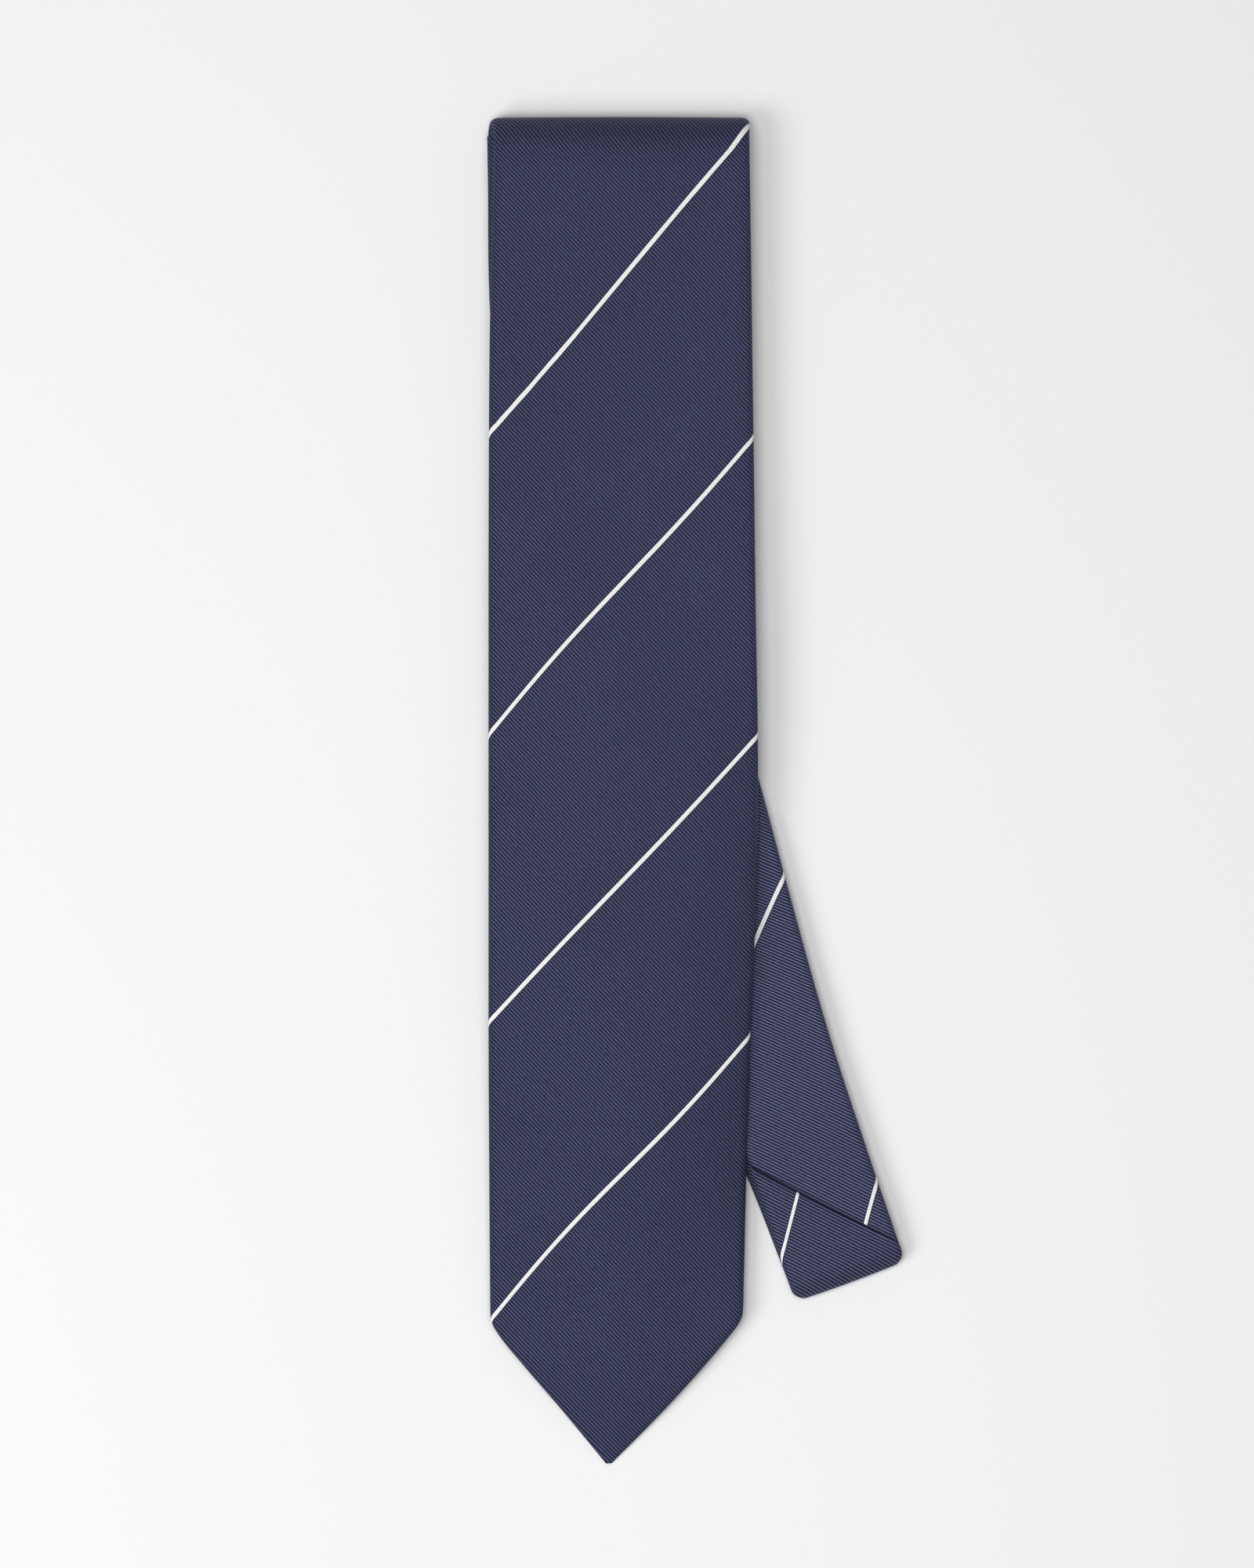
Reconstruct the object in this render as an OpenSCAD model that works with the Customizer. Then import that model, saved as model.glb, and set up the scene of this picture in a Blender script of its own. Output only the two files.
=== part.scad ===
// Necktie folded in four: a bias-cut shell round a woven interlining. The blade
// lies on top, the tail is passed through the keeper loop on the blade's back,
// and the neck part shows as the slanted strip on the right.
// Millimetres. +Y runs up to the top fold, +X to the right as it is seen from
// the front, +Z up from the table. The origin is at the middle of the base.

/* [Overall] */
// Width over the folded tie, from the inner fold's end to the neck fold's corner
folded_width = 123.2; // [100:0.2:160]
// Length over the folded tie, from the blade's point to the top fold
folded_length = 398.4; // [320:0.4:480]

/* [Blade] */
// Blade width at its widest
blade_width = 79.6; // [60:0.2:100]
// Length of the blade's pointed end
blade_tip_length = 42.7; // [30:0.1:55]
// How far the point stands to the left of the blade's middle
blade_tip_shift = 2.4; // [0:0.1:5]
// How far the inner fold peeks out past the blade's left edge at the top fold
inner_peek = 2.0; // [0.5:0.1:4]

/* [Neck and tail] */
// Width of the neck part
neck_width = 34.8; // [25:0.2:45]
// Slant of the neck fold's crease, in degrees
neck_crease_angle = 20.3; // [5:0.1:30]
// Height of the neck fold's centre above the point
neck_above_point = 58.35; // [45:0.05:80]
// Width of the tail at its tip
tail_width = 45; // [36:0.2:55]
// How far the tail's point stops short of the blade's point
tail_above_point = 34.6; // [10:0.1:60]
// Slant of the piecing seams, in degrees
seam_angle = -26.3; // [-45:0.1:0]
// Height above the neck fold's corner where the visible seam meets the edge
neck_join_above_corner = 1.35; // [1.3:0.05:30]

/* [Layers] */
// Thickness of one finished layer: shell, interlining and shell
layer = 3.2; // [2.4:0.1:4]
// Free space between two layers
layer_gap = 0.3; // [0.2:0.05:0.6]
// Thickness of the shell fabric
ply = 0.5; // [0.3:0.05:0.7]
// Free space round a piece that lies inside another
inner_gap = 0.05; // [0.03:0.01:0.1]

/* [Keeper loop] */
// Distance of the keeper loop's middle from the blade's point
keeper_from_point = 174.2; // [140:0.2:200]
// Height of the keeper loop along the blade
keeper_height = 18; // [12:0.5:26]
// Thickness of the keeper's band
keeper_thickness = 0.8; // [0.5:0.05:1]
// Free space beside the tail inside the keeper
keeper_side_gap = 1.5; // [0.8:0.1:4]

/* [Sewing details] */
// Depth of what is let into the back of a layer
inlay_depth = 0.3; // [0.2:0.05:0.35]
// Width of a line of slip stitches
slip_width = 0.6; // [0.4:0.05:1]
// Width of a piecing seam
seam_width = 0.6; // [0.4:0.05:1]
// Length of a bar tack
tack_length = 8; // [5:0.5:12]
// Width of a bar tack
tack_width = 1.6; // [1:0.1:2.5]
// Outer radius of a slack thread's loop
slack_radius = 2.2; // [1.5:0.1:3]
// Thickness of a slack thread
slack_thread = 0.6; // [0.4:0.05:1]
// Width of the blank care label
label_width = 24; // [16:0.5:32]
// Height of the blank care label
label_height = 11; // [8:0.5:14]
// Free space between the slip stitches and the care label
label_beside = 3; // [1:0.5:8]
// Width of the hem round a lined tip
hem_width = 7; // [4:0.5:10]
// Width of a keeper tack
keeper_tack_width = 1.2; // [0.8:0.1:2]

/* [Hidden] */
// heights of the four layers and of the roll that joins them
rear_z = 0;
neck_z = layer + layer_gap;
tail_z = 2 * (layer + layer_gap);
front_z = 3 * (layer + layer_gap);
roll_z = (front_z + layer) / 2;
outer_roll = roll_z;
inner_roll = outer_roll - layer - layer_gap;
neck_roll = layer + layer_gap / 2;
// how much the keeper's band lifts the layers above it
keeper_z = neck_z + layer + layer_gap;
lift = keeper_thickness + layer_gap;
tail_lift_z = tail_z + lift;
front_lift_z = front_z + lift;
// ends of the folded tie
top_y = folded_length / 2;
point_y = -folded_length / 2;
roll_y = top_y - outer_roll;
panel_y = roll_y - layer_gap;
left_x = -folded_width / 2;
right_x = folded_width / 2;
shoulder_y = point_y + blade_tip_length;
keeper_y = point_y + keeper_from_point;
// the neck fold's centre, placed so that its corner ends the width
neck_x = right_x - cos(neck_crease_angle) * (neck_width / 2 - inner_gap)
    - sin(neck_crease_angle) * neck_roll;
neck_y = point_y + neck_above_point;
inner_x = left_x + neck_width / 2;
blade_left_x = left_x + inner_peek;
blade_x = blade_left_x + 0.475 * blade_width;
tail_x = blade_x - 0.7;
tail_point_y = point_y + tail_above_point;
far = 1000;
// how far the neck fold's roll runs straight into the layers that it joins
lead = 1;
// the neck part's slant where it comes out from under the blade, and how far
// up its left edge meets the blade's right edge
neck_end_heading = 18.7;
blade_edge_x = blade_x - 1.25 + 0.475 * blade_width;
neck_clear_y = neck_y - sin(neck_crease_angle) * neck_width / 2
    + (neck_x - cos(neck_crease_angle) * neck_width / 2 - blade_edge_x)
    / tan(neck_end_heading);

// Stations along each layer: middle x, y, heading of the cross-cut, width.
function crease_station(d) = [neck_x - d * sin(neck_crease_angle),
    neck_y + d * cos(neck_crease_angle), neck_crease_angle, neck_width];
// the blade's front layer
function front_at(f) = panel_y - f * (panel_y - shoulder_y);
front_line = [
    [blade_x, panel_y, 0, 0.950 * blade_width],
    [blade_x - 0.15, front_at(0.09), 0, 0.966 * blade_width],
    [blade_x - 0.10, front_at(0.26), 0, 0.982 * blade_width],
    [blade_x + 0.50, front_at(0.54), 0, blade_width],
    [blade_x + 0.15, front_at(0.64), 0, 0.994 * blade_width],
    [blade_x - 0.70, front_at(0.75), 0, 0.972 * blade_width],
    [blade_x - 1.25, front_at(0.88), 0, 0.951 * blade_width],
    [blade_x - 1.45, shoulder_y, 0, 0.943 * blade_width]];
front_point = [blade_x - 1.45 - blade_tip_shift, point_y];
// the blade's rear layer, from the top fold down to the neck fold
function rear_at(fx, fy) =
    [blade_x + fx * (neck_x - blade_x), roll_y + fy * (neck_y - roll_y)];
rear_line = [
    [blade_x, roll_y, 0, 0.950 * blade_width],
    [rear_at(0.027, 0.127)[0], rear_at(0.027, 0.127)[1], 3, 0.867 * blade_width],
    [rear_at(0.073, 0.277)[0], rear_at(0.073, 0.277)[1], 4, 0.779 * blade_width],
    [rear_at(0.133, 0.427)[0], rear_at(0.133, 0.427)[1], 6, 0.716 * blade_width],
    [rear_at(0.212, 0.564)[0], rear_at(0.212, 0.564)[1], 12, 0.647 * blade_width],
    [rear_at(0.349, 0.667)[0], rear_at(0.349, 0.667)[1], 18, 1.29 * neck_width],
    [rear_at(0.598, 0.793)[0], rear_at(0.598, 0.793)[1], 20, 1.11 * neck_width],
    [rear_at(0.848, 0.919)[0], rear_at(0.848, 0.919)[1], 21, 1.02 * neck_width],
    crease_station(lead), crease_station(lead / 4)];
// the neck part, from the top fold down to the neck fold
function neck_at(fx, fy) =
    [inner_x + fx * (neck_x - inner_x), roll_y + fy * (neck_y - roll_y)];
neck_line = [
    [inner_x, roll_y, 0, neck_width],
    [neck_at(0.013, 0.043)[0], neck_at(0.013, 0.043)[1], 7, neck_width],
    [neck_at(0.042, 0.088)[0], neck_at(0.042, 0.088)[1], 13, neck_width],
    [neck_at(0.520, 0.578)[0], neck_at(0.520, 0.578)[1], 15, neck_width],
    [neck_at(0.761, 0.810)[0], neck_at(0.761, 0.810)[1], 17, neck_width],
    [neck_at(0.893, 0.917)[0], neck_at(0.893, 0.917)[1], neck_end_heading,
        neck_width],
    crease_station(lead), crease_station(lead / 4)];
// the tail's front layer, which swings under the blade's middle
function tail_at(f) = inner_x + f * (tail_x - inner_x);
function tail_y(f) = panel_y - f * (panel_y - keeper_y);
function tail_w(y) = neck_width
    + (tail_width - neck_width) * (panel_y - y) / (panel_y - tail_point_y);
tail_line = [
    [inner_x, panel_y, 0, neck_width],
    [left_x + tail_w(tail_y(0.17)) / 2, tail_y(0.17), 1, tail_w(tail_y(0.17))],
    [tail_at(0.17), tail_y(0.33), 8, tail_w(tail_y(0.33))],
    [tail_at(0.51), tail_y(0.52), 11, tail_w(tail_y(0.52))],
    [tail_at(0.82), tail_y(0.68), 8, tail_w(tail_y(0.68))],
    [tail_at(0.98), tail_y(0.82), 2, tail_w(tail_y(0.82))],
    [tail_x, keeper_y, 0, tail_w(keeper_y)],
    [tail_x, tail_point_y + tail_width / 2, 0, tail_width]];
tail_point = [tail_x, tail_point_y];

// Undersides along Y of the two layers that rise over the keeper and come
// down to the table past the neck fold.
keeper_zone = keeper_height / 2 + 16;
front_under = [
    [far, front_z],
    [keeper_y + keeper_zone + 100, front_z],
    [keeper_y + keeper_zone + 20, front_lift_z],
    [keeper_y - keeper_zone, front_lift_z],
    [keeper_y - keeper_zone - 25, front_z],
    [min(neck_clear_y - 4, neck_y + 28), tail_z + 0.2],
    [tail_point_y, layer + 2 * layer_gap],
    [point_y, layer_gap]];
tail_under = [
    [far, tail_z],
    [keeper_y + keeper_zone + 100, tail_z],
    [keeper_y + keeper_zone + 20, tail_lift_z],
    [keeper_y - keeper_zone, tail_lift_z],
    [keeper_y - keeper_zone - 25, tail_z],
    [neck_y + 11, 0.2],
    [tail_point_y, 0]];

// the outline of a layer: left side down, then right side up
function side(line, s, inset) = [for (p = line)
    [p[0] + s * (p[3] / 2 - inset) * cos(p[2]),
     p[1] + s * (p[3] / 2 - inset) * sin(p[2])]];
function back(list) = [for (i = [len(list) - 1 : -1 : 0]) list[i]];
module outline(line, inset = 0)
    polygon(concat(side(line, -1, inset), back(side(line, 1, inset))));
module pointed(line, point, inset = 0)
    polygon(concat(side(line, -1, inset), [[point[0], point[1] + 1.4 * inset]],
        back(side(line, 1, inset))));

// what lies between two heights above a layer's underside
module between(under, low, high)
    translate([-far / 2, 0, 0]) rotate([90, 0, 90]) linear_extrude(far)
        polygon(concat([for (p = under) [p[0], p[1] + low]],
            back([for (p = under) [p[0], p[1] + high]])));
module along(under, low, high)
    intersection() {
        translate([0, 0, -20]) linear_extrude(60) children();
        between(under, low, high);
    }
module flat(low, high)
    translate([0, 0, low]) linear_extrude(high - low) children();

// a half roll about a line along X, bulging towards +Y, between two radii
module half_roll(width, z, inner, outer, straight = 0)
    translate([-width / 2, 0, z]) rotate([90, 0, 90]) linear_extrude(width)
        union() {
            difference() {
                circle(r = outer, $fn = 96);
                circle(r = inner, $fn = 96);
                translate([-2 * outer, -2 * outer])
                    square([2 * outer, 4 * outer]);
            }
            if (straight > 0) for (y = [-outer, inner])
                translate([-straight, y]) square([straight, outer - inner]);
        }
module top_roll(x, width, inner, outer)
    translate([x, roll_y, 0]) half_roll(width, roll_z, inner, outer);
module neck_roll(width, inner, outer)
    translate([neck_x, neck_y, 0]) rotate([0, 0, neck_crease_angle + 180])
        half_roll(width - 2 * inner_gap, neck_roll, inner, outer, lead / 2);

// a line of stitches down the middle of a layer
module stitch_line(line, first, last, grow = 0)
    polygon(concat(
        [for (i = [first : last]) [line[i][0] - slip_width / 2 - grow,
            line[i][1]]],
        back([for (i = [first : last]) [line[i][0] + slip_width / 2 + grow,
            line[i][1]]])));
module tack_shape(x, y, grow = 0)
    translate([x, y]) square([tack_length + 2 * grow,
        tack_width + 2 * grow], center = true);
module ring_shape(x, y, grow = 0)
    translate([x, y]) difference() {
        circle(r = slack_radius + grow, $fn = 48);
        circle(r = slack_radius - slack_thread - grow, $fn = 48);
    }
// everything on one side of a piecing seam through a point of the neck part
module beyond_seam(x, y, above)
    translate([x, y]) rotate(seam_angle) translate([-far / 2,
        above ? seam_width / 2 : -far - seam_width / 2]) square([far, far]);
module on_seam(x, y)
    translate([x, y]) rotate(seam_angle)
        square([far, seam_width - 2 * inner_gap], center = true);

neck_join_x = neck_x + cos(neck_crease_angle) * neck_width / 2
    - sin(neck_end_heading) * neck_join_above_corner;
neck_join_y = neck_y + sin(neck_crease_angle) * neck_width / 2
    + cos(neck_end_heading) * neck_join_above_corner;
tail_join = neck_at(0.18, 0.23);

// ---- the rear body: what lies on the table --------------------------------
module neck_tube(low, high)
    difference() {
        flat(neck_z, neck_z + layer) outline(neck_line);
        flat(neck_z + ply, neck_z + layer - ply) outline(neck_line, ply);
        flat(neck_z - 1, neck_z + inlay_depth + inner_gap)
            stitch_line(neck_line, 2, 5, inner_gap);
    }

module blade_shell_rear()
    color([0.22, 0.23, 0.36]) difference() {
        union() {
            flat(rear_z, rear_z + layer) outline(rear_line);
            neck_roll(neck_width, layer_gap / 2, neck_roll);
            intersection() {
                flat(neck_z, neck_z + layer) outline(neck_line);
                flat(neck_z - 1, neck_z + layer + 1)
                    beyond_seam(neck_join_x, neck_join_y, false);
            }
        }
        flat(rear_z + ply, rear_z + layer - ply) outline(rear_line, ply);
        neck_roll(neck_width - 2 * ply, layer_gap / 2 + ply, neck_roll - ply);
        flat(neck_z + ply, neck_z + layer - ply) outline(neck_line, ply);
        flat(rear_z + layer - inlay_depth - inner_gap, rear_z + layer + 0.1)
            stitch_line(rear_line, 1, 7, inner_gap);
        flat(neck_z - 0.1, neck_z + inlay_depth + inner_gap)
            stitch_line(neck_line, 2, 5, inner_gap);
    }

module neck_shell()
    color([0.25, 0.26, 0.40]) intersection() {
        neck_tube();
        flat(neck_z - 1, neck_z + layer + 1) intersection() {
            beyond_seam(neck_join_x, neck_join_y, true);
            beyond_seam(tail_join[0], tail_join[1], false);
        }
    }

module tail_shell_rear()
    color([0.22, 0.23, 0.36]) intersection() {
        neck_tube();
        flat(neck_z - 1, neck_z + layer + 1)
            beyond_seam(tail_join[0], tail_join[1], true);
    }

module seam_ring(x, y)
    difference() {
        flat(neck_z, neck_z + layer) intersection() {
            outline(neck_line);
            on_seam(x, y);
        }
        flat(neck_z + ply, neck_z + layer - ply) outline(neck_line, ply);
        flat(neck_z - 1, neck_z + inlay_depth + inner_gap)
            stitch_line(neck_line, 2, 5, inner_gap);
    }
module neck_join_seam() color([0.12, 0.12, 0.2])
    seam_ring(neck_join_x, neck_join_y);
module tail_join_seam() color([0.12, 0.12, 0.2])
    seam_ring(tail_join[0], tail_join[1]);

lining_inset = ply + 0.5;
module interlining_rear()
    color([0.88, 0.87, 0.82]) union() {
        flat(rear_z + ply + inner_gap, rear_z + layer - ply - inner_gap)
            outline(rear_line, lining_inset);
        neck_roll(neck_width - 2 * lining_inset,
            layer_gap / 2 + ply + inner_gap, neck_roll - ply - inner_gap);
        flat(neck_z + ply + inner_gap, neck_z + layer - ply - inner_gap)
            outline(neck_line, lining_inset);
    }

module rear_slip_stitch() color([0.15, 0.15, 0.25])
    flat(rear_z + layer - inlay_depth, rear_z + layer)
        stitch_line(rear_line, 1, 7);
module neck_slip_stitch() color([0.15, 0.15, 0.25])
    flat(neck_z, neck_z + inlay_depth) stitch_line(neck_line, 2, 5);

// ---- the two folds at the top ----------------------------------------------
module fold_shell(x, width, inner, outer)
    difference() {
        top_roll(x, width, inner, outer);
        top_roll(x, width - 2 * ply, inner + ply, outer - ply);
    }
module blade_shell_fold() color([0.20, 0.21, 0.33])
    fold_shell(blade_x, 0.950 * blade_width, outer_roll - layer, outer_roll);
module interlining_fold_outer() color([0.88, 0.87, 0.82])
    top_roll(blade_x, 0.950 * blade_width - 2 * lining_inset,
        outer_roll - layer + ply + inner_gap, outer_roll - ply - inner_gap);
module tail_shell_fold() color([0.20, 0.21, 0.33])
    fold_shell(inner_x, neck_width, inner_roll - layer, inner_roll);
module interlining_fold_inner() color([0.88, 0.87, 0.82])
    top_roll(inner_x, neck_width - 2 * lining_inset,
        inner_roll - layer + ply + inner_gap, inner_roll - ply - inner_gap);

// ---- the blade: front layer and what is sewn to its back -------------------
blade_tack_y = keeper_y - keeper_height / 2 - 41;
blade_slack_y = blade_tack_y - 6;
label_y = keeper_y - keeper_height / 2 - 8 - label_height / 2;
tipping_y = point_y + 86;
blade_tip_line = [
    [blade_x - 1.3, tipping_y, 0, 0.950 * blade_width],
    [blade_x - 1.45, shoulder_y, 0, 0.943 * blade_width]];
module blade_stitches(grow = 0)
    translate([blade_x - slip_width / 2 - grow, blade_tack_y + 4 - grow])
        square([slip_width + 2 * grow,
            panel_y - 6 - blade_tack_y - 4 + 2 * grow]);
module label_shape(grow = 0)
    translate([blade_x + label_width / 2 + label_beside, label_y])
        square([label_width + 2 * grow, label_height + 2 * grow],
            center = true);
module blade_shell_front()
    color([0.22, 0.23, 0.36]) difference() {
        along(front_under, 0, layer) pointed(front_line, front_point);
        along(front_under, ply, layer - ply) union() {
            pointed(front_line, front_point, ply + 0.3);
            translate([blade_left_x + 2 * ply, panel_y - 2])
                square([0.950 * blade_width - 4 * ply, 5]);
        }
        along(front_under, -1, inlay_depth + inner_gap) union() {
            blade_stitches(inner_gap);
            tack_shape(blade_x, blade_tack_y, inner_gap);
            translate([blade_x, blade_slack_y])
                circle(r = slack_radius + inner_gap, $fn = 48);
            label_shape(inner_gap);
            pointed(blade_tip_line, front_point, hem_width - inner_gap);
        }
    }
module interlining_front() color([0.88, 0.87, 0.82])
    along(front_under, ply + inner_gap, layer - ply - inner_gap)
        pointed(front_line, front_point, lining_inset + 0.4);
module blade_tipping() color([0.10, 0.11, 0.2])
    along(front_under, 0, inlay_depth)
        pointed(blade_tip_line, front_point, hem_width);
module blade_slip_stitch() color([0.15, 0.15, 0.25])
    along(front_under, 0, inlay_depth) blade_stitches();
module blade_bar_tack() color([0.75, 0.75, 0.78])
    along(front_under, 0, inlay_depth) tack_shape(blade_x, blade_tack_y);
module blade_slack_loop() color([0.15, 0.15, 0.25])
    along(front_under, 0, inlay_depth) ring_shape(blade_x, blade_slack_y);
module care_label() color([0.92, 0.92, 0.9])
    along(front_under, 0, inlay_depth) label_shape();

// the keeper: a band round the tail whose two ends are sewn to the blade
keeper_inside = tail_w(keeper_y - keeper_height / 2) + 2 * keeper_side_gap;
module keeper_loop()
    color([0.22, 0.23, 0.36])
        translate([tail_x, keeper_y + keeper_height / 2, 0])
            rotate([90, 0, 0]) linear_extrude(keeper_height) {
                translate([-keeper_inside / 2 - keeper_thickness, keeper_z])
                    square([keeper_inside + 2 * keeper_thickness,
                        keeper_thickness]);
                for (s = [-1, 1])
                    translate([s > 0 ? keeper_inside / 2
                        : -keeper_inside / 2 - keeper_thickness, keeper_z])
                        square([keeper_thickness,
                            front_lift_z - keeper_z]);
            }
module keeper_tacks()
    color([0.12, 0.12, 0.2]) for (s = [-1, 1])
        translate([tail_x + s * (keeper_inside / 2 + keeper_thickness
                + inner_gap + keeper_tack_width / 2), keeper_y,
                front_lift_z - inlay_depth / 2])
            cube([keeper_tack_width, keeper_height - 4, inlay_depth],
                center = true);

// ---- the tail: front layer and what is sewn to its back --------------------
tail_tack_y = tail_point_y + 70;
tail_slack_y = tail_tack_y - 6;
tail_tip_line = [
    [tail_x, tail_point_y + 52, 0, tail_w(tail_point_y + 52)],
    [tail_x, tail_point_y + tail_width / 2, 0, tail_width]];
module tail_stitches(grow = 0)
    union() {
        stitch_line(tail_line, 2, 6, grow);
        translate([tail_x - slip_width / 2 - grow, tail_tack_y + 4 - grow])
            square([slip_width + 2 * grow,
                keeper_y - tail_tack_y - 4 + 2 * grow]);
    }
module tail_shell_front()
    color([0.22, 0.23, 0.36]) difference() {
        along(tail_under, 0, layer) pointed(tail_line, tail_point);
        along(tail_under, ply, layer - ply) union() {
            pointed(tail_line, tail_point, ply + 0.3);
            translate([inner_x - neck_width / 2 + 2 * ply, panel_y - 2])
                square([neck_width - 4 * ply, 5]);
        }
        along(tail_under, layer - inlay_depth - inner_gap, layer + 1) union() {
            tail_stitches(inner_gap);
            tack_shape(tail_x, tail_tack_y, inner_gap);
            translate([tail_x, tail_slack_y])
                circle(r = slack_radius + inner_gap, $fn = 48);
            pointed(tail_tip_line, tail_point, hem_width - inner_gap);
        }
    }
module interlining_tail() color([0.88, 0.87, 0.82])
    along(tail_under, ply + inner_gap, layer - ply - inner_gap)
        pointed(tail_line, tail_point, lining_inset + 0.4);
module tail_tipping() color([0.10, 0.11, 0.2])
    along(tail_under, layer - inlay_depth, layer)
        pointed(tail_tip_line, tail_point, hem_width);
module tail_slip_stitch() color([0.15, 0.15, 0.25])
    along(tail_under, layer - inlay_depth, layer) tail_stitches();
module tail_bar_tack() color([0.75, 0.75, 0.78])
    along(tail_under, layer - inlay_depth, layer)
        tack_shape(tail_x, tail_tack_y);
module tail_slack_loop() color([0.15, 0.15, 0.25])
    along(tail_under, layer - inlay_depth, layer)
        ring_shape(tail_x, tail_slack_y);

blade_shell_rear();
neck_shell();
tail_shell_rear();
neck_join_seam();
tail_join_seam();
interlining_rear();
rear_slip_stitch();
neck_slip_stitch();
blade_shell_fold();
interlining_fold_outer();
tail_shell_fold();
interlining_fold_inner();
blade_shell_front();
interlining_front();
blade_tipping();
blade_slip_stitch();
blade_bar_tack();
blade_slack_loop();
keeper_loop();
keeper_tacks();
care_label();
tail_shell_front();
interlining_tail();
tail_tipping();
tail_slip_stitch();
tail_bar_tack();
tail_slack_loop();
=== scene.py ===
import math

import bpy
import numpy as np
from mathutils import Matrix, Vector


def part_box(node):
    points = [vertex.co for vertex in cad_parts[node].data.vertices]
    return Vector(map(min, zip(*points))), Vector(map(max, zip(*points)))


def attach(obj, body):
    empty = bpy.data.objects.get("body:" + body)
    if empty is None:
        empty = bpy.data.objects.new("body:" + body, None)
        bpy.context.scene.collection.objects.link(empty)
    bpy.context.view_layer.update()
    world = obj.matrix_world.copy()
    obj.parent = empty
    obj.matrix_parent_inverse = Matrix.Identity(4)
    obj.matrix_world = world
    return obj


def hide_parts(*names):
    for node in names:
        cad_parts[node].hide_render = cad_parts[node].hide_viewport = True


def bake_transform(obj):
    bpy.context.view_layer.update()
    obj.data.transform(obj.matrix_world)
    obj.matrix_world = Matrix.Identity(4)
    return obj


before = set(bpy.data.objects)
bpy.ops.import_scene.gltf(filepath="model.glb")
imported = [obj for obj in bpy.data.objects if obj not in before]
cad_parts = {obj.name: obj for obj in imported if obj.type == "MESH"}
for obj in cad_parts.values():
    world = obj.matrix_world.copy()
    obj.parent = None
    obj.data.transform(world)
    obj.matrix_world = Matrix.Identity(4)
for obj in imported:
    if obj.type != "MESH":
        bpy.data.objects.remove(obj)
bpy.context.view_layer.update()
mm = 0.001
up, down = (0, 0, 1), (0, 0, -1)


def span(node):
    low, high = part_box(node)
    return np.array(low) / mm, np.array(high) / mm


def centreOf(node):
    low, high = span(node)
    return (low[0] + high[0]) / 2, (low[1] + high[1]) / 2


def steady(x):               # a soft step from 0 to 1
    x = np.clip(x, 0, 1)
    return x * x * (3 - 2 * x)


# One line runs from the blade's point over the top fold, down the rear layer,
# round the neck fold, up the neck part, round the inner fold and down the
# tail. Each shell and each interlining is cut from it. All of it is in mm.
foldLow, foldHigh = span("blade_shell_fold")
innerLow, innerHigh = span("tail_shell_fold")
frontLow, frontHigh = span("blade_shell_front")
rearLow, rearHigh = span("blade_shell_rear")
tailLow, tailHigh = span("tail_shell_front")
seamLow, seamHigh = span("neck_join_seam")

lay = {
    "layer": 3.1,            # thickness of a finished layer
    "wall": 0.42,            # thickness of the shell's silk
    "edge": 2.1,             # how wide an edge's roll is
    "crease": 20.3,          # slant of the neck fold, degrees
    "tip": 1.0,              # thickness at a point
    "press": 0.28,           # share by which the top folds are pressed flat
    "pressFrom": 16.0,       # how far from the top folds the pressing begins
    "pressPast": 7.0,        # and how far past the hinge line it goes on
    "corner": 1.9,           # how round a fold's corners are
    "puff": 2.4,             # how far the neck fold's roll is drawn out
    "neckCorner": 0.05,      # what the neck fold's corner is short of half its width
    "neckShift": (0.8, -1.7),    # how far the neck fold lies from the rear solid's corner
}
bladeX = (foldLow[0] + foldHigh[0]) / 2
bladeW = (foldHigh[0] - foldLow[0]) / 0.95
rollY, rollZ = foldLow[1], (foldLow[2] + foldHigh[2]) / 2
room = seamHigh[2] - seamLow[2]
outerR = rollZ - room / 2
innerX = (innerLow[0] + innerHigh[0]) / 2
neckW = innerHigh[0] - innerLow[0]
innerR = (innerHigh[2] - innerLow[2] - room) / 2
slant = math.radians(lay["crease"])
aside, ahead = neckW / 2 - lay["neckCorner"], innerR + room / 2 + lay["puff"]
neckX = rearHigh[0] - math.cos(slant) * aside - math.sin(slant) * ahead + lay["neckShift"][0]
neckY = rearLow[1] + math.sin(slant) * aside + math.cos(slant) * ahead + lay["neckShift"][1]
pointY, tailPointY = frontLow[1], tailLow[1]


# a smooth run through knots that never overshoots them
def flow(knots, at):
    k = np.array(knots, float)
    x, y = k[:, 0], k[:, 1]
    if x[0] > x[-1]:
        x, y = x[::-1], y[::-1]
    h, d = np.diff(x), np.diff(y) / np.diff(x)
    m = np.zeros(len(x))
    m[0], m[-1] = d[0], d[-1]
    for i in range(1, len(x) - 1):
        if d[i - 1] * d[i] > 0:
            a, b = 2 * h[i] + h[i - 1], h[i] + 2 * h[i - 1]
            m[i] = (a + b) / (a / d[i - 1] + b / d[i])
    at = np.clip(at, x[0], x[-1])
    i = np.clip(np.searchsorted(x, at, side="right") - 1, 0, len(h) - 1)
    t = (at - x[i]) / h[i]
    return ((1 + 2 * t) * (1 - t) ** 2 * y[i] + t * (1 - t) ** 2 * h[i] * m[i]
            + t * t * (3 - 2 * t) * y[i + 1] + t * t * (t - 1) * h[i] * m[i + 1])


line = {"place": [], "across": [], "face": [], "width": [], "thick": [], "centre": [],
        "over": [], "under": [], "sagLeft": [], "sagRight": []}
reached = [0.0]
lineAt = []
lapOver, lapUnder = -1.6, 4.0        # how far across the back each flap reaches


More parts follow.
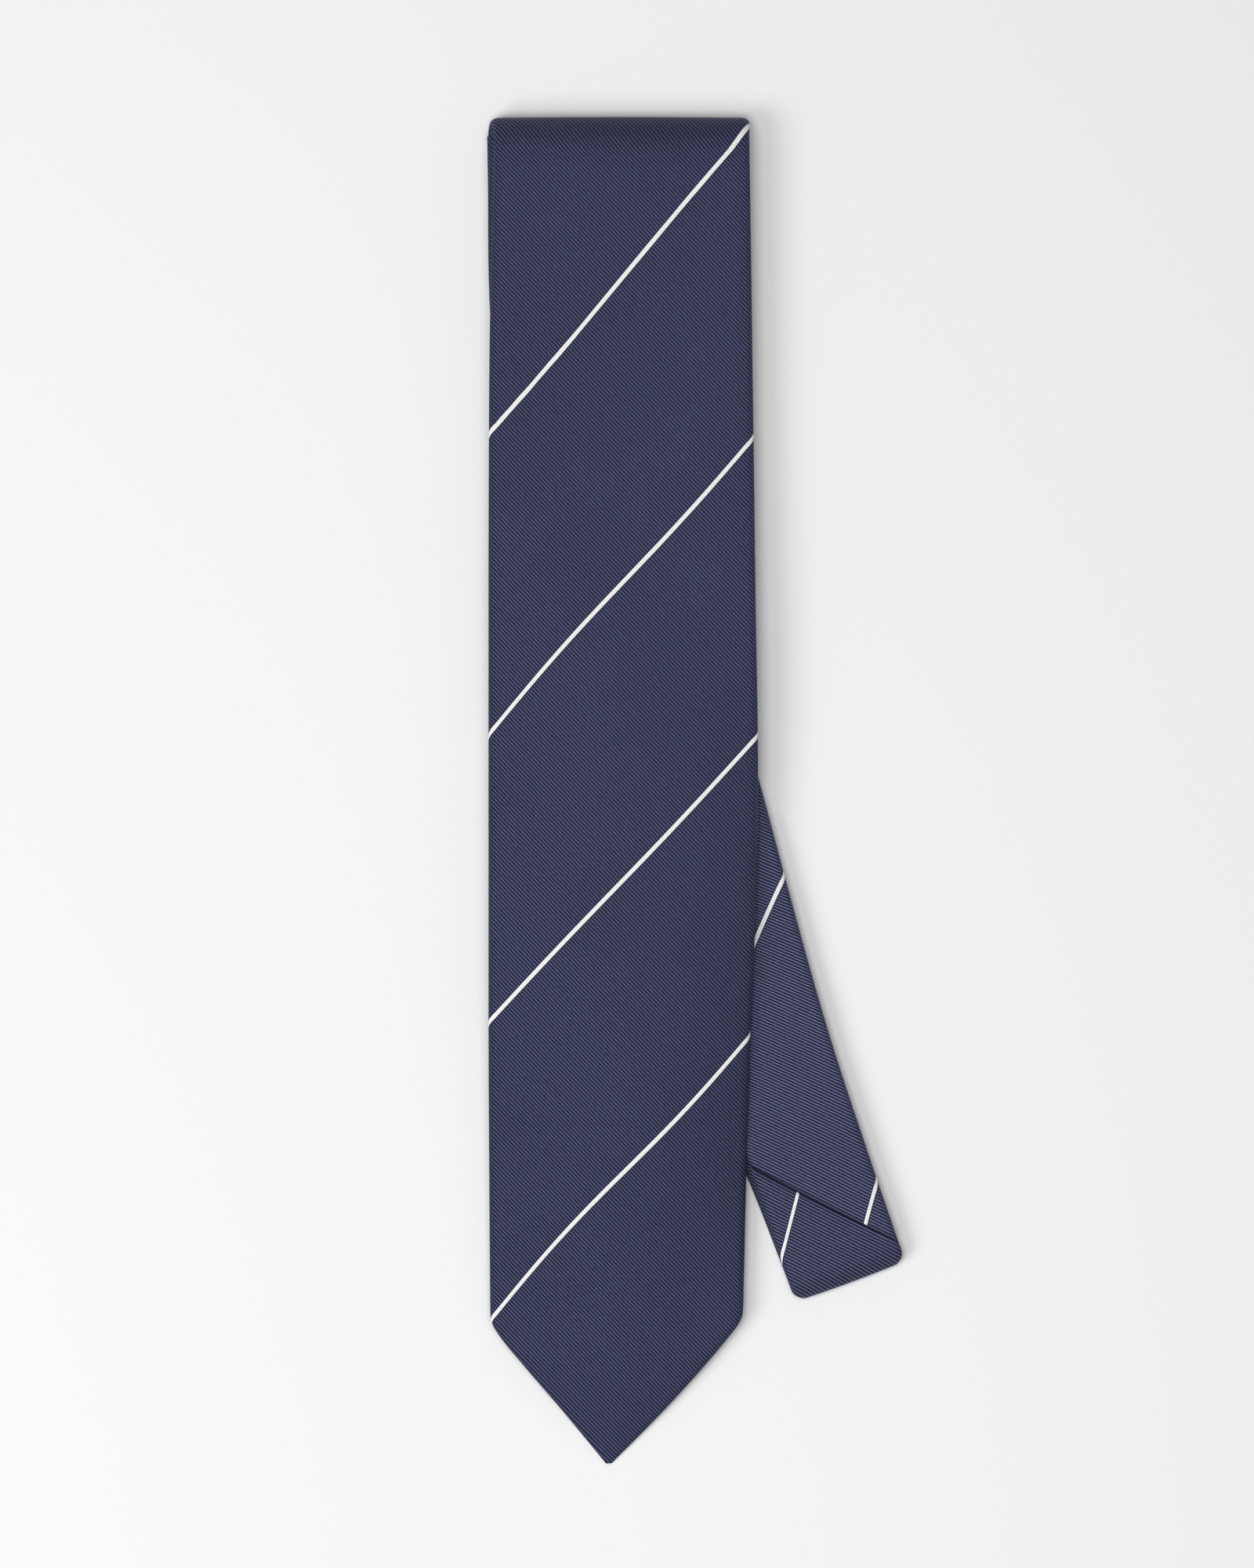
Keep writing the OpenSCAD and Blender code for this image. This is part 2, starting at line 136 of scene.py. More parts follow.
# adds places to the line, each with its cross direction, front side and width
def lead(places, across, face, width, thick, centre=0.0, over=lapOver, under=lapUnder,
         sagLeft=0.0, sagRight=0.0):
    places = np.array(places, float)
    n = len(places)
    steps = np.linalg.norm(np.diff(places, axis=0), axis=1)
    at = reached[0] + np.concatenate([[0], np.cumsum(steps)])
    lineAt.extend(at)
    reached[0] = at[-1]
    for name, value in (("place", places), ("across", across), ("face", face)):
        line[name].extend(np.broadcast_to(np.array(value, float), (n, 3)))
    for name, value in (("width", width), ("thick", thick), ("centre", centre), ("over", over),
                        ("under", under), ("sagLeft", sagLeft), ("sagRight", sagRight)):
        line[name].extend(np.broadcast_to(np.array(value, float), (n,)))
    return at[0], at[-1]


# the width round a fold, less where its corners are rounded
def rounded(width, radius, t, corner=lay["corner"]):
    q = np.clip((radius * np.sin(t) - radius + corner) / corner, 0, 1)
    return width - 2 * corner * (1 - np.sqrt(1 - q * q))


# how far the back's two flaps reach: they part and end as hems near a point
def parting(piece, y, half):
    part = steady((piece["part"][0] - y) / (piece["part"][0] - piece["part"][1]))
    turn = steady((piece["hemTurn"][0] - y) / piece["hemTurn"][1])
    opened = np.maximum(half - piece["hem"] * (1 + piece["hemGain"] * turn), 0.15)
    return {"over": lapOver + (opened - lapOver) * part, "under": lapUnder - (opened + lapUnder) * part}


# a layer thins towards its point
def thinned(piece, fromPoint):
    return lay["tip"] + (lay["layer"] - lay["tip"]) * steady(fromPoint / piece["tipLength"]) ** 0.7


blade = {
    # half widths out from the blade's middle down its length: height, left, right
    "sides": [(192.35, 37.8, 37.8), (160, 38.5, 38.3), (130, 39.1, 38.7), (101, 39.3, 39.1),
              (60, 39.4, 39.6), (3.8, 39.4, 40.4), (-31, 39.4, 39.8), (-69, 39.4, 38.2),
              (-114.7, 39.2, 36.9), (-145, 39.0, 36.2), (-154.5, 38.9, 35.95), (-157.3, 38.55, 35.0),
              (-160.2, 37.0, 32.9), (-169.5, 29.6, 25.2), (-183.4, 17.7, 12.6), (-199.2, 4.7, -3.0)],
    # height of its underside down its length
    "under": [(200, 10.5), (100, 10.5), (20, 11.6), (-50, 11.6), (-75, 10.6), (-113, 7.4),
              (-165, 3.4), (-199.2, 0.3)],
    "tipLength": 30,         # over what length it thickens from the point
    "hem": 7.5,              # width of the hem at the point
    "hemTurn": (-150, 10),   # where the hem widens at the corners, and over what length
    "hemGain": 0.35,         # and by what share
    "part": (-80, -130),     # where the back's two flaps begin to part, and where they end as hems
    "sagLeft": (0.9, 0.15),  # how far the left edge hangs: down its middle, and all along below the fold
    "sagRight": (1.1, 2.1),  # how far the right one does: all along, and more down its lower half
}
y = np.concatenate([np.arange(pointY, pointY + 60, 0.5), np.arange(pointY + 60, rollY, 1.0), [rollY]])
leftSide, rightSide = (flow([(k[0], k[i]) for k in blade["sides"]], y) for i in (1, 2))
half = np.maximum((leftSide + rightSide) / 2, 0.3)
middle = (rightSide - leftSide) / 2
fromPoint = y - pointY
thick = thinned(blade, fromPoint)
sagLeft = (blade["sagLeft"][0] * steady((fromPoint - 30) / 60) * steady((115 - y) / 55)
           + blade["sagLeft"][1] * steady((rollY - y) / 30))
sagRight = ((blade["sagRight"][0] + blade["sagRight"][1] * steady((35 - y) / 50) * steady((y + 160) / 50))
            * steady((fromPoint - 15) / 50) * steady((rollY + 5 - y) / 40))
bladeSpan = lead(np.stack([bladeX + middle, y, flow(blade["under"], y) + thick / 2], 1), (1, 0, 0), up,
                 2 * half, thick, centre=middle, sagLeft=sagLeft, sagRight=sagRight,
                 **parting(blade, y, half))

topRoll = {
    "width": 75.6,           # width of the cloth where it enters the fold
    "askew": 0.45,           # how far the turn shifts the cloth left by its half way, widening it by twice that
    "drawn": 1.05,           # how deep the roll is, against a round one
    "corner": 0.3,
}
t = np.linspace(0, math.pi, 40)[1:]
flat = [(0, math.sin(a), math.cos(a)) for a in t]
askew = topRoll["askew"] * (1 - np.cos(t))
topFold = lead([(bladeX - k, rollY + topRoll["drawn"] * outerR * n[1], rollZ + outerR * n[2])
                for k, n in zip(askew, flat)], (1, 0, 0), flat,
               rounded(topRoll["width"] + 2 * askew, outerR + room / 2, t, topRoll["corner"]), lay["layer"])


# middle, cross direction and width of a strip, at shares of its length
def strip(knots, at):
    k = np.array(knots, float)
    d = np.concatenate([[0], np.cumsum(np.hypot(*np.diff(k[:, :2], axis=0).T))])
    x, y, h, w = [flow(np.stack([d / d[-1], k[:, i]], 1), at) for i in range(4)]
    h = np.radians(h)
    return x, y, np.stack([np.cos(h), np.sin(h), 0 * h], 1), w


# knots given as shares across and down from a top fold to the neck fold
def between(fromX, knots):
    return [(fromX + k[0] * (neckX - fromX), rollY + k[1] * (neckY - rollY), k[2], k[3]) for k in knots]


rear = {  # share across and down from the top fold to the neck fold, heading, width
    "line": [(0.027, 0.127, 3, 69), (0.073, 0.277, 4, 62), (0.133, 0.427, 6, 57), (0.212, 0.564, 12, 51.5),
             (0.349, 0.667, 18, 44.9), (0.598, 0.793, 20, 38.6), (0.848, 0.919, 20.5, 35.5)],
}
start = (bladeX - 2 * topRoll["askew"], rollY, 0, topRoll["width"] + 4 * topRoll["askew"])
neckEnd = (neckX, neckY, lay["crease"], neckW)
x, y, across, w = strip([start] + between(bladeX, rear["line"]) + [neckEnd], np.linspace(0, 1, 420))
rearSpan = lead(np.stack([x, y, 0 * x + rearLow[2] + room / 2], 1), across, down, w, lay["layer"])

out = np.array([math.sin(slant), -math.cos(slant), 0])
level = np.array([math.cos(slant), math.sin(slant), 0])
t = np.linspace(0, math.pi, 30)[1:]
neckZ = seamLow[2] + room / 2
midZ = (neckZ + rearLow[2] + room / 2) / 2
tall, wide = neckZ - midZ, neckZ - midZ + lay["puff"]
faces = [out * tall * math.sin(a) - np.array(up) * wide * math.cos(a) for a in t]
faces = [n / np.linalg.norm(n) for n in faces]
neckFold = lead([np.array([neckX, neckY, midZ]) + out * wide * math.sin(a) - np.array(up) * tall * math.cos(a)
                 for a in t], level, faces, rounded(neckW, midZ, t), lay["layer"])

neck = {  # the same, from the inner fold down to the neck fold, listed from the neck fold up
    "line": [(0.893, 0.917, 18.7, 34.8), (0.761, 0.810, 17, 34.8), (0.520, 0.578, 15, 34.8),
             (0.30, 0.36, 14, 34.8), (0.042, 0.088, 13, 34.8), (0.013, 0.043, 7, 34.8)],
}
innerEnd = (innerX, rollY, 0, neckW)
x, y, across, w = strip([neckEnd] + between(innerX, neck["line"]) + [innerEnd], np.linspace(0, 1, 420))
neckSpan = lead(np.stack([x, y, 0 * x + neckZ], 1), across, up, w, lay["layer"])
t = np.linspace(0, math.pi, 30)[1:]
tailZ = innerHigh[2] - room / 2
faces = [np.array([0, -math.sin(a), math.cos(a)]) for a in t]
innerFold = lead([np.array([innerX, rollY, (neckZ + tailZ) / 2]) - n * (tailZ - neckZ) / 2 for n in faces],
                 (1, 0, 0), faces, rounded(neckW, innerR + room / 2, t), lay["layer"])

tail = {
    # its middle across and up, heading, width
    "line": [(-43.95, 181, 2, 34.9), (-43.6, 160, 3, 35.4), (-42.9, 143, 5, 35.9), (-40.0, 118, 8, 36.6),
             (-33, 79, 11, 38.1), (-26.4, 44.5, 8, 39.3), (-22.9, 14, 2, 40.4), (-22.49, -25, 0, 41.6),
             (-22.49, -120, 0, 44.4)],
    "end": (-22.49, 45.0),   # where its point lies across, and the width it is heading for there
    "under": [(200, 7.0), (100, 7.0), (20, 8.1), (-50, 8.1), (-75, 7.0), (-129, 0.3), (-165, 0.0)],
    "tip": (2.0, 0.6),       # how fast the point widens, and how wide its end is
    "tipLength": 22,
    "hem": 6.5,
    "hemTurn": (-140, 6),
    "hemGain": 0.35,
    "part": (-106, -128),
}
tailEnd = (tail["end"][0], tailPointY, 0, tail["end"][1])
x, y, across, w = strip([innerEnd] + tail["line"] + [tailEnd], np.linspace(0, 1, 500))
fromPoint = y - tailPointY
w = np.maximum(np.minimum(w, tail["tip"][0] * fromPoint + tail["tip"][1]), tail["tip"][1])
thick = thinned(tail, fromPoint)
tailSpan = lead(np.stack([x, y, flow(tail["under"], y) + thick / 2], 1), across, down, w, thick,
                **parting(tail, y, w / 2))
lineAt = np.array(lineAt)
line = {k: np.array(v) for k, v in line.items()}
print("line of the tie:", round(lineAt[-1]), "mm")


def along(name, at):
    v = line[name]
    if v.ndim == 1:
        return np.interp(at, lineAt, v)
    return np.stack([np.interp(at, lineAt, v[:, i]) for i in range(3)], -1)


# how far the blade's back hangs below its middle at a place
def fallen(x, y):
    off = (x - bladeX) / (bladeW / 2)
    return (along("sagRight", y - pointY) * np.clip(off, 0, 1) ** 3
            + along("sagLeft", y - pointY) * np.clip(-off, 0, 1) ** 3)


# where a place on the table lies on a stretch of the line: length along it and distance across
def nearest(point, part):
    at = np.linspace(part[0], part[1], 3000)
    p, a = along("place", at), along("across", at)
    d = np.array([point[0], point[1], 0]) - p
    side = (d * a).sum(-1)
    off = np.linalg.norm((d - side[:, None] * a)[:, :2], axis=-1)
    i = int(np.argmin(off))
    return at[i], side[i]


weave = {
    "pitch": 58.5,           # distance between two stripes, square to them
    "rib": 0.88,             # distance between two ribs
    "spacing": 88.0,         # distance between two stripes along the tie
    # the blade's stripes: height at its middle, rise, sway, bow
    "stripes": [(-112.9, 1.1035, -1.4, 0.7), (-26.2, 1.064, -0.37, -0.26), (61.9, 1.123, -0.95, 0.62),
                (151.9, 1.175, 0.47, -0.3)],
    "bladeHalf": 39.5,       # half the width over which a stripe sways and bows
    "belowLast": 86.5,       # spacing below the lowest stripe
    "overTop": 104.0,        # distance from the top stripe over the fold to the next
    "bladeRib": 46.0,        # slant of the blade's ribs, degrees
    "foldStripe": (30.6, -117.8),    # a stripe between the neck fold and its seam
    "foldRise": 1.48,        # its rise
    "neckStripes": ((54.0, -115.0), (26.2, -25.7)),
    "neckRise": (1.52, 1.22),
    "neckRib": (46, 39),     # slant of the ribs at those two
    "tailRise": 1.12,
    "tailRib": 45,
    "tailFirst": 90,         # how far down the tail one of its stripes lies
}


# how far up the blade its stripe k lies at a distance across
def rise(k, u):
    height, slope, sway, bow = weave["stripes"][k]
    c = np.clip(u, -weave["bladeHalf"], weave["bladeHalf"])
    return (height + slope * u + sway * np.sin(math.pi * c / weave["bladeHalf"])
            + bow * (np.cos(math.pi * c / (2 * weave["bladeHalf"])) - 1))


# each pattern gives two lengths in the cloth, across its stripes and across its ribs
def bladeWeave(at, u):
    v = at + pointY
    marks = [rise(k, u) for k in range(4)]
    p = sum(np.clip((v - marks[k]) / (marks[k + 1] - marks[k]), 0, 1) for k in range(3))
    p = p + np.minimum(v - marks[0], 0) / weave["belowLast"]
    turn = steady((at - topFold[1]) / (rearSpan[1] - rearSpan[0]))
    steeper = (weave["foldRise"] - weave["stripes"][3][1]) * turn
    past = np.maximum(v - (marks[3] + steeper * u), 0)
    p = p + np.minimum(past, weave["overTop"]) / weave["overTop"]
    p = p + np.maximum(past - weave["overTop"], 0) / spacingRear
    r = np.radians(weave["bladeRib"])
    return p * weave["pitch"], v * math.cos(r) + u * math.sin(r)


def neckWeave(at, u):
    (a0, u0), (a1, u1) = (nearest(p, neckSpan) for p in weave["neckStripes"])
    m0, m1 = weave["neckRise"]
    f = np.clip((at - a0) / (a1 - a0), -0.3, 1)
    m = m0 + (m1 - m0) * f
    first, second = a0 - m0 * u0, a1 - m1 * u1
    p = (at - m * u - first) / (second - first)
    r0, r1 = weave["neckRib"]
    r = np.radians(r0 + (r1 - r0) * np.clip(f, 0, 1))
    return p * weave["pitch"], (at - a0) * np.cos(r) + u * np.sin(r)


def tailWeave(at, u):
    p = (at - weave["tailRise"] * u - tailSpan[0] - weave["tailFirst"]) / weave["spacing"]
    r = np.radians(weave["tailRib"])
    return p * weave["pitch"], at * np.cos(r) + u * np.sin(r)


a, b = nearest(weave["foldStripe"], (neckSpan[0], neckSpan[0] + 60))
gap = (a + pointY - weave["foldRise"] * b) - weave["stripes"][3][0] - weave["overTop"]
spacingRear = gap / round(gap / weave["spacing"])
print("stripes on the rear layer every", round(spacingRear, 1), "mm")


neckPress = {                # how the stack is pressed at the neck fold's rolled end
    "share": 0.9,            # of the pressing at the top folds
    "from": 14.0,            # how far before the fold it begins
    "over": 17.3,            # and over what length it grows
    "right": (19, 6),        # only to the right of this, and over what width it comes in
}


# the stack of layers, pressed lower towards the folds
def pressed(places):
    reach = lay["pressFrom"] + lay["pressPast"]
    near = np.clip((places[..., 1] - rollY + lay["pressFrom"]) / reach, 0, 1)
    beyond = (places[..., 0] - neckX) * math.sin(slant) - (places[..., 1] - neckY) * math.cos(slant)
    atNeck = np.clip((beyond + neckPress["from"] - lay["puff"]) / neckPress["over"], 0, 1)
    atNeck = atNeck * steady((places[..., 0] - neckPress["right"][0]) / neckPress["right"][1])
    out = places.copy()
    out[..., 2] *= (1 - lay["press"] * near ** 3) * (1 - neckPress["share"] * lay["press"] * atNeck ** 3)
    return out


# lengths along the line: (from, to, how many steps) one after another
def cut(steps):
    return np.concatenate([np.linspace(a, b, n + 1)[(1 if i else 0):] for i, (a, b, n) in enumerate(steps)])


profile = {
    "front": 13,             # points over half the front, round an edge and over a back flap
    "side": 9,
    "back": 9,
    "crown": 0.22,           # how much the front is domed
    "lap": 0.52,             # how far the under flap steps in beneath the other
}


# a layer's section from its left flap round its front to its right flap: across, height, length of cloth
def section(half, thick, over, under):
    edge = np.minimum(lay["edge"], 0.6 * half)
    inner = half - edge
    xs, zs, us = [], [], []
    girth = math.pi * np.sqrt((edge ** 2 + (thick / 2) ** 2) / 2)
    crown = profile["crown"] * thick / lay["layer"]
    low, high = -thick / 2, thick / 2 - crown
    for f in np.linspace(0, 1, profile["front"]):
        f = 1 - (1 - f) ** 1.25
        xs.append(inner * f)
        zs.append(thick / 2 - crown * f ** 2)
        us.append(inner * f)
    for i in range(1, profile["side"] + 1):
        phi = math.pi * i / profile["side"]
        xs.append(inner + edge * np.sin(phi))
        zs.append((high + low) / 2 + (high - low) / 2 * math.cos(phi))
        us.append(inner + girth * i / profile["side"])
    right, left = [list(k) for k in (xs, zs, us)], [[-k for k in xs], list(zs), [-k for k in us]]
    for f in np.linspace(0, 1, profile["back"] + 1)[1:]:
        f = f ** 0.8
        x = inner + (over - inner) * f
        right[0].append(x)
        right[1].append(-thick / 2 - 0.05 * np.sin(math.pi * f))
        right[2].append(inner + girth + (inner - x))
        x = -inner + (under + inner) * f
        step = profile["lap"] * steady((x + 9) / 6) * (under > -2)
        left[0].append(x)
        left[1].append(-thick / 2 + step)
        left[2].append(-inner - girth - (x + inner))
    parts = [left[k][:0:-1] + right[k] for k in range(3)]
    return [np.stack(p, -1) for p in parts]


def covered(widths, at):     # the area under a run of widths
    return float((0.5 * (widths[1:] + widths[:-1]) * np.diff(at)).sum())


def facesOf(grid):           # unit directions square to a grid of places
    n = np.cross(np.gradient(grid, axis=1), np.gradient(grid, axis=0))
    size = np.linalg.norm(n, axis=-1, keepdims=True)
    return n / np.maximum(size, 1e-9)


# a closed sheet of cloth: the outer grid, and an inner one a wall's thickness behind it
def sheetMesh(name, outer, wall, maps, material, flip=False):
    rows, cols = outer.shape[:2]
    outer = pressed(outer)
    n = facesOf(outer)
    if flip:
        n = -n
    inner = outer - n * wall
    places = np.concatenate([outer.reshape(-1, 3), inner.reshape(-1, 3)]) * mm
    at = np.arange(rows * cols).reshape(rows, cols)
    quads = np.stack([at[:-1, :-1], at[:-1, 1:], at[1:, 1:], at[1:, :-1]], -1).reshape(-1, 4)
    if flip:
        quads = quads[:, ::-1]
    back = quads[:, ::-1] + rows * cols
    loop = np.concatenate([at[0, :-1], at[:-1, -1], at[-1, :0:-1], at[:0:-1, 0]])
    after = np.roll(loop, -1)
    rim = np.stack([after, loop, loop + rows * cols, after + rows * cols], -1)
    if flip:
        rim = rim[:, ::-1]
    faces = np.concatenate([quads, back, rim])
    mesh = bpy.data.meshes.new(name)
    mesh.from_pydata(places.tolist(), [], faces.tolist())
    for label, (p, q) in maps.items():
        both = np.stack([np.concatenate([p.ravel(), p.ravel()]), np.concatenate([q.ravel(), q.ravel()])], 1)
        layer = mesh.uv_layers.new(name=label)
        ends = np.zeros(len(mesh.loops), np.int32)
        mesh.loops.foreach_get("vertex_index", ends)
        layer.data.foreach_set("uv", both[ends].astype(np.float32).ravel())
    mesh.shade_smooth()
    border = set(map(tuple, np.sort(np.stack([loop, after], 1), axis=1).tolist()))
    border |= set((a + rows * cols, b + rows * cols) for a, b in border)
    for e in mesh.edges:
        if tuple(sorted(e.vertices)) in border:
            e.use_edge_sharp = True
    mesh.update()
    obj = bpy.data.objects.new(name, mesh)
    bpy.context.scene.collection.objects.link(obj)
    mesh.materials.append(material)
    return obj


turnIn = {"deep": 0.8, "long": 1.1}      # how a shell's end turns down into a seam


# a piece of the silk shell between two lengths of the line, its rows leaning where a seam runs aslant
def shell(name, steps, pattern, material, lean=((0, 0), (1, 0)), tuck=(False, False), sunk=0.0,
          wall=lay["wall"]):
    base = cut(steps)
    if tuck[0]:
        base = np.concatenate([base[0] + np.array([0, 0.25, 0.5, 0.9]), base[base > base[0] + 1.2]])
    if tuck[1]:
        base = np.concatenate([base[base < base[-1] - 1.2], base[-1] - np.array([0.9, 0.5, 0.25, 0])])
    k = np.interp(base, [p[0] for p in lean], [p[1] for p in lean])[:, None]
    half = along("width", base) / 2
    x, z, u = section(half, along("thick", base), along("over", base), along("under", base))
    at = base[:, None] + k * np.clip(u, -half[:, None], half[:, None])
    place, across, face = along("place", at), along("across", at), along("face", at)
    sag = np.where(x < 0, along("sagLeft", at), along("sagRight", at))
    z = z - sag * np.clip(np.abs(x) / half[:, None], 0, 1.02) ** 3
    depth = np.full(len(base), sunk)
    if tuck[0]:
        depth += turnIn["deep"] * np.clip(1 - (base - base[0]) / turnIn["long"], 0, 1) ** 2
    if tuck[1]:
        depth += turnIn["deep"] * np.clip(1 - (base[-1] - base) / turnIn["long"], 0, 1) ** 2
    outer = place + across * x[..., None] + face * z[..., None]
    outer = outer - facesOf(outer) * depth[:, None, None]
    c = along("centre", at)
    maps = {"weave": pattern(at, u + c), "cloth": (u + c, at)}
    obj = sheetMesh(name, outer, wall, maps, material)
    girth = u[:, -1] - u[:, 0]
    obj["flat"] = [float(girth.max()) * mm, float(base[-1] - base[0]) * mm, covered(girth, base) * mm * mm]
    return obj


# a flat sheet inside the shell, between two heights that follow the shell's thickness
def inlay(name, steps, material, inset, top, bottom, dome=0.0):
    base = cut(steps)
    half = along("width", base) / 2
    own = np.maximum(half - inset, 0.25)
    f = np.linspace(-1, 1, 15)[None]
    x = own[:, None] * f
    at = base[:, None] + 0 * x
    place, across, face = along("place", at), along("across", at), along("face", at)
    thick = along("thick", at)
    z = thick * top[0] + top[1] - dome * f ** 2
    depth = z - (thick * bottom[0] + bottom[1])
    z = z - np.where(x < 0, along("sagLeft", at), along("sagRight", at)) * np.abs(x / half[:, None]) ** 3
    outer = place + across * x[..., None] + face * z[..., None]
    c = along("centre", at)
    obj = sheetMesh(name, outer, np.maximum(depth, 0.12)[..., None], {"cloth": (x + c, at)}, material)
    obj["flat"] = [float(2 * own.max()) * mm, float(base[-1] - base[0]) * mm, covered(2 * own, base) * mm * mm]
    return obj


# threads: a round tube along each run of places
def cords(name, runs, radius, material, sides=6):
    places, faces = [], []
    for run in runs:
        run = pressed(np.array(run, float))
        closed = np.linalg.norm(run[0] - run[-1]) < 1e-6
        if closed:
            run = run[:-1]
        ahead = np.roll(run, -1, 0) - np.roll(run, 1, 0) if closed else np.gradient(run, axis=0)
        ahead /= np.linalg.norm(ahead, axis=1, keepdims=True)
        s = np.cross(ahead, (0.12, 0.21, 1.0))
        s /= np.linalg.norm(s, axis=1, keepdims=True)
        q = np.cross(ahead, s)
        size = np.full(len(run), radius)
        if not closed:
            size[[0, -1]] *= 0.55
        first = len(places)
        for i in range(len(run)):
            for j in range(sides):
                c = 2 * math.pi * j / sides
                places.append(run[i] + size[i] * (s[i] * math.cos(c) + q[i] * math.sin(c)))
        rings = len(run)
        for i in range(rings if closed else rings - 1):
            for j in range(sides):
                a, b = first + i * sides, first + (i + 1) % rings * sides
                faces.append([a + j, b + j, b + (j + 1) % sides, a + (j + 1) % sides])
        if not closed:
            faces.append([first + j for j in range(sides)])
            faces.append([first + (rings - 1) * sides + j for j in reversed(range(sides))])
    mesh = bpy.data.meshes.new(name)
    mesh.from_pydata([tuple(p * mm) for p in places], [], faces)
    mesh.shade_smooth()
    mesh.materials.append(material)
    obj = bpy.data.objects.new(name, mesh)
    bpy.context.scene.collection.objects.link(obj)
    return obj


socketKinds = {"colour": "NodeSocketColor", "value": "NodeSocketFloat"}


def group(name, inputs, outputs):
    g = bpy.data.node_groups.new(name, "ShaderNodeTree")
    for label, kind, value in inputs:
        s = g.interface.new_socket(name=label, in_out="INPUT", socket_type=socketKinds[kind])
        s.default_value = value
    for label, kind in outputs:
        g.interface.new_socket(name=label, in_out="OUTPUT", socket_type=socketKinds[kind])
    return g, g.nodes.new("NodeGroupInput"), g.nodes.new("NodeGroupOutput")


def put(tree, kind, **values):
    n = tree.nodes.new(kind)
    for k, v in values.items():
        setattr(n, k, v)
    return n


def feed(tree, socket, value):
    if isinstance(value, bpy.types.NodeSocket):
        tree.links.new(value, socket)
    else:
        socket.default_value = value


def calc(tree, operation, a, b=None, c=None, clamp=False):
    n = put(tree, "ShaderNodeMath", operation=operation, use_clamp=clamp)
    for i, v in enumerate((a, b, c)):
        if v is not None:
            feed(tree, n.inputs[i], v)
    return n.outputs[0]


def blendColours(tree, share, a, b):
    n = put(tree, "ShaderNodeMix", data_type="RGBA")
    feed(tree, n.inputs[0], share)
    feed(tree, n.inputs[6], a)
    feed(tree, n.inputs[7], b)
    return n.outputs[2]


def lengths(tree, place):    # the two lengths that a cloth map holds
    sep = put(tree, "ShaderNodeSeparateXYZ")
    tree.links.new(place, sep.inputs[0])
    return sep.outputs[0], sep.outputs[1]


def mottle(tree, place, scale, detail):
    n = put(tree, "ShaderNodeTexNoise", noise_dimensions="2D")
    feed(tree, n.inputs["Scale"], scale)
    feed(tree, n.inputs["Detail"], detail)
    tree.links.new(place, n.inputs["Vector"])
    return n.outputs[0]


def colour(r, g, b):         # a colour as it is seen, turned into light values
    return tuple(((c / 255 + 0.055) / 1.055) ** 2.4 if c > 10 else c / 255 / 12.92 for c in (r, g, b)) + (1.0,)


outs = [("Colour", "colour"), ("Roughness", "value"), ("Height", "value")]
twill = {
    "ground": colour(6, 6, 18),          # between the ribs
    "ribs": colour(80, 83, 112),         # the ribs' backs
    "rearRibsPaintedLight": colour(95, 97, 127),     # painted light: the ribs' backs drawn lighter on the rear layer, where the slant catches more light
    "neckRibsPaintedLight": colour(103, 105, 138),   # painted light: drawn lighter still on the neck part, where the ribs' slant catches more light
    "stripe": colour(250, 250, 244),
    "outline": colour(22, 22, 44),
    "stripeHalf": 0.63,                  # half a stripe's width, mm
    "outlineWidth": 0.42,                # the dark line beside it
    "bead": 0.60,                        # length of one stitch of a stripe
    "thread": 0.62,                      # length of one thread on a rib's back
    "patches": 0.022,                    # how fine the broad unevenness is, and how the ribs wander
    "wander": 1.3,
    "roughness": (0.42, 0.82),           # on the ribs' backs, and between the ribs
    "specular": 0.85,
    "gloss": colour(182, 190, 255),
    "sheen": 0.04,
    "sheenTint": colour(180, 185, 235),
    "relief": 0.0002,                    # height of the ribs, m
}
g, gin, gout = group("twill weave", [
    ("Ground", "colour", twill["ground"]), ("Ribs", "colour", twill["ribs"]),
    ("Stripe", "colour", twill["stripe"]), ("Outline", "colour", twill["outline"]),
    ("Stripe half width", "value", twill["stripeHalf"]), ("Pitch", "value", weave["pitch"]),
    ("Rib", "value", weave["rib"])], outs)
a, b = lengths(g, put(g, "ShaderNodeUVMap", uv_map="weave").outputs[0])
clothAt = put(g, "ShaderNodeUVMap", uv_map="cloth").outputs[0]
broad = mottle(g, clothAt, twill["patches"], 2.0)
fine = mottle(g, clothAt, twill["wander"], 2.0)
ribAt = calc(g, "DIVIDE", b, gin.outputs["Rib"])
ribAt = calc(g, "ADD", ribAt, calc(g, "MULTIPLY", calc(g, "SUBTRACT", fine, 0.5), 0.22))
wave = calc(g, "COSINE", calc(g, "MULTIPLY", ribAt, 2 * math.pi))
ridge = calc(g, "MULTIPLY_ADD", wave, 0.5, 0.5)
number = calc(g, "FLOOR", calc(g, "ADD", ribAt, 0.5))
shift = calc(g, "MULTIPLY", calc(g, "FRACT", calc(g, "MULTIPLY", number, 0.382)), 2 * math.pi)
dash = calc(g, "SINE", calc(g, "ADD", calc(g, "MULTIPLY", a, 2 * math.pi / twill["thread"]), shift))
dash = calc(g, "MULTIPLY_ADD", dash, 0.5, 0.5)
thread = calc(g, "MULTIPLY", calc(g, "POWER", ridge, 2.0), calc(g, "MULTIPLY_ADD", dash, 0.3, 0.7))
tone = calc(g, "MULTIPLY", thread, calc(g, "MULTIPLY_ADD", broad, 0.35, 0.83))
cloth = blendColours(g, tone, gin.outputs["Ground"], gin.outputs["Ribs"])
off = calc(g, "FRACT", calc(g, "ADD", calc(g, "DIVIDE", a, gin.outputs["Pitch"]), 0.5))
off = calc(g, "MULTIPLY", calc(g, "SUBTRACT", off, 0.5), gin.outputs["Pitch"])
away = calc(g, "ABSOLUTE", off)          # distance from a stripe's middle
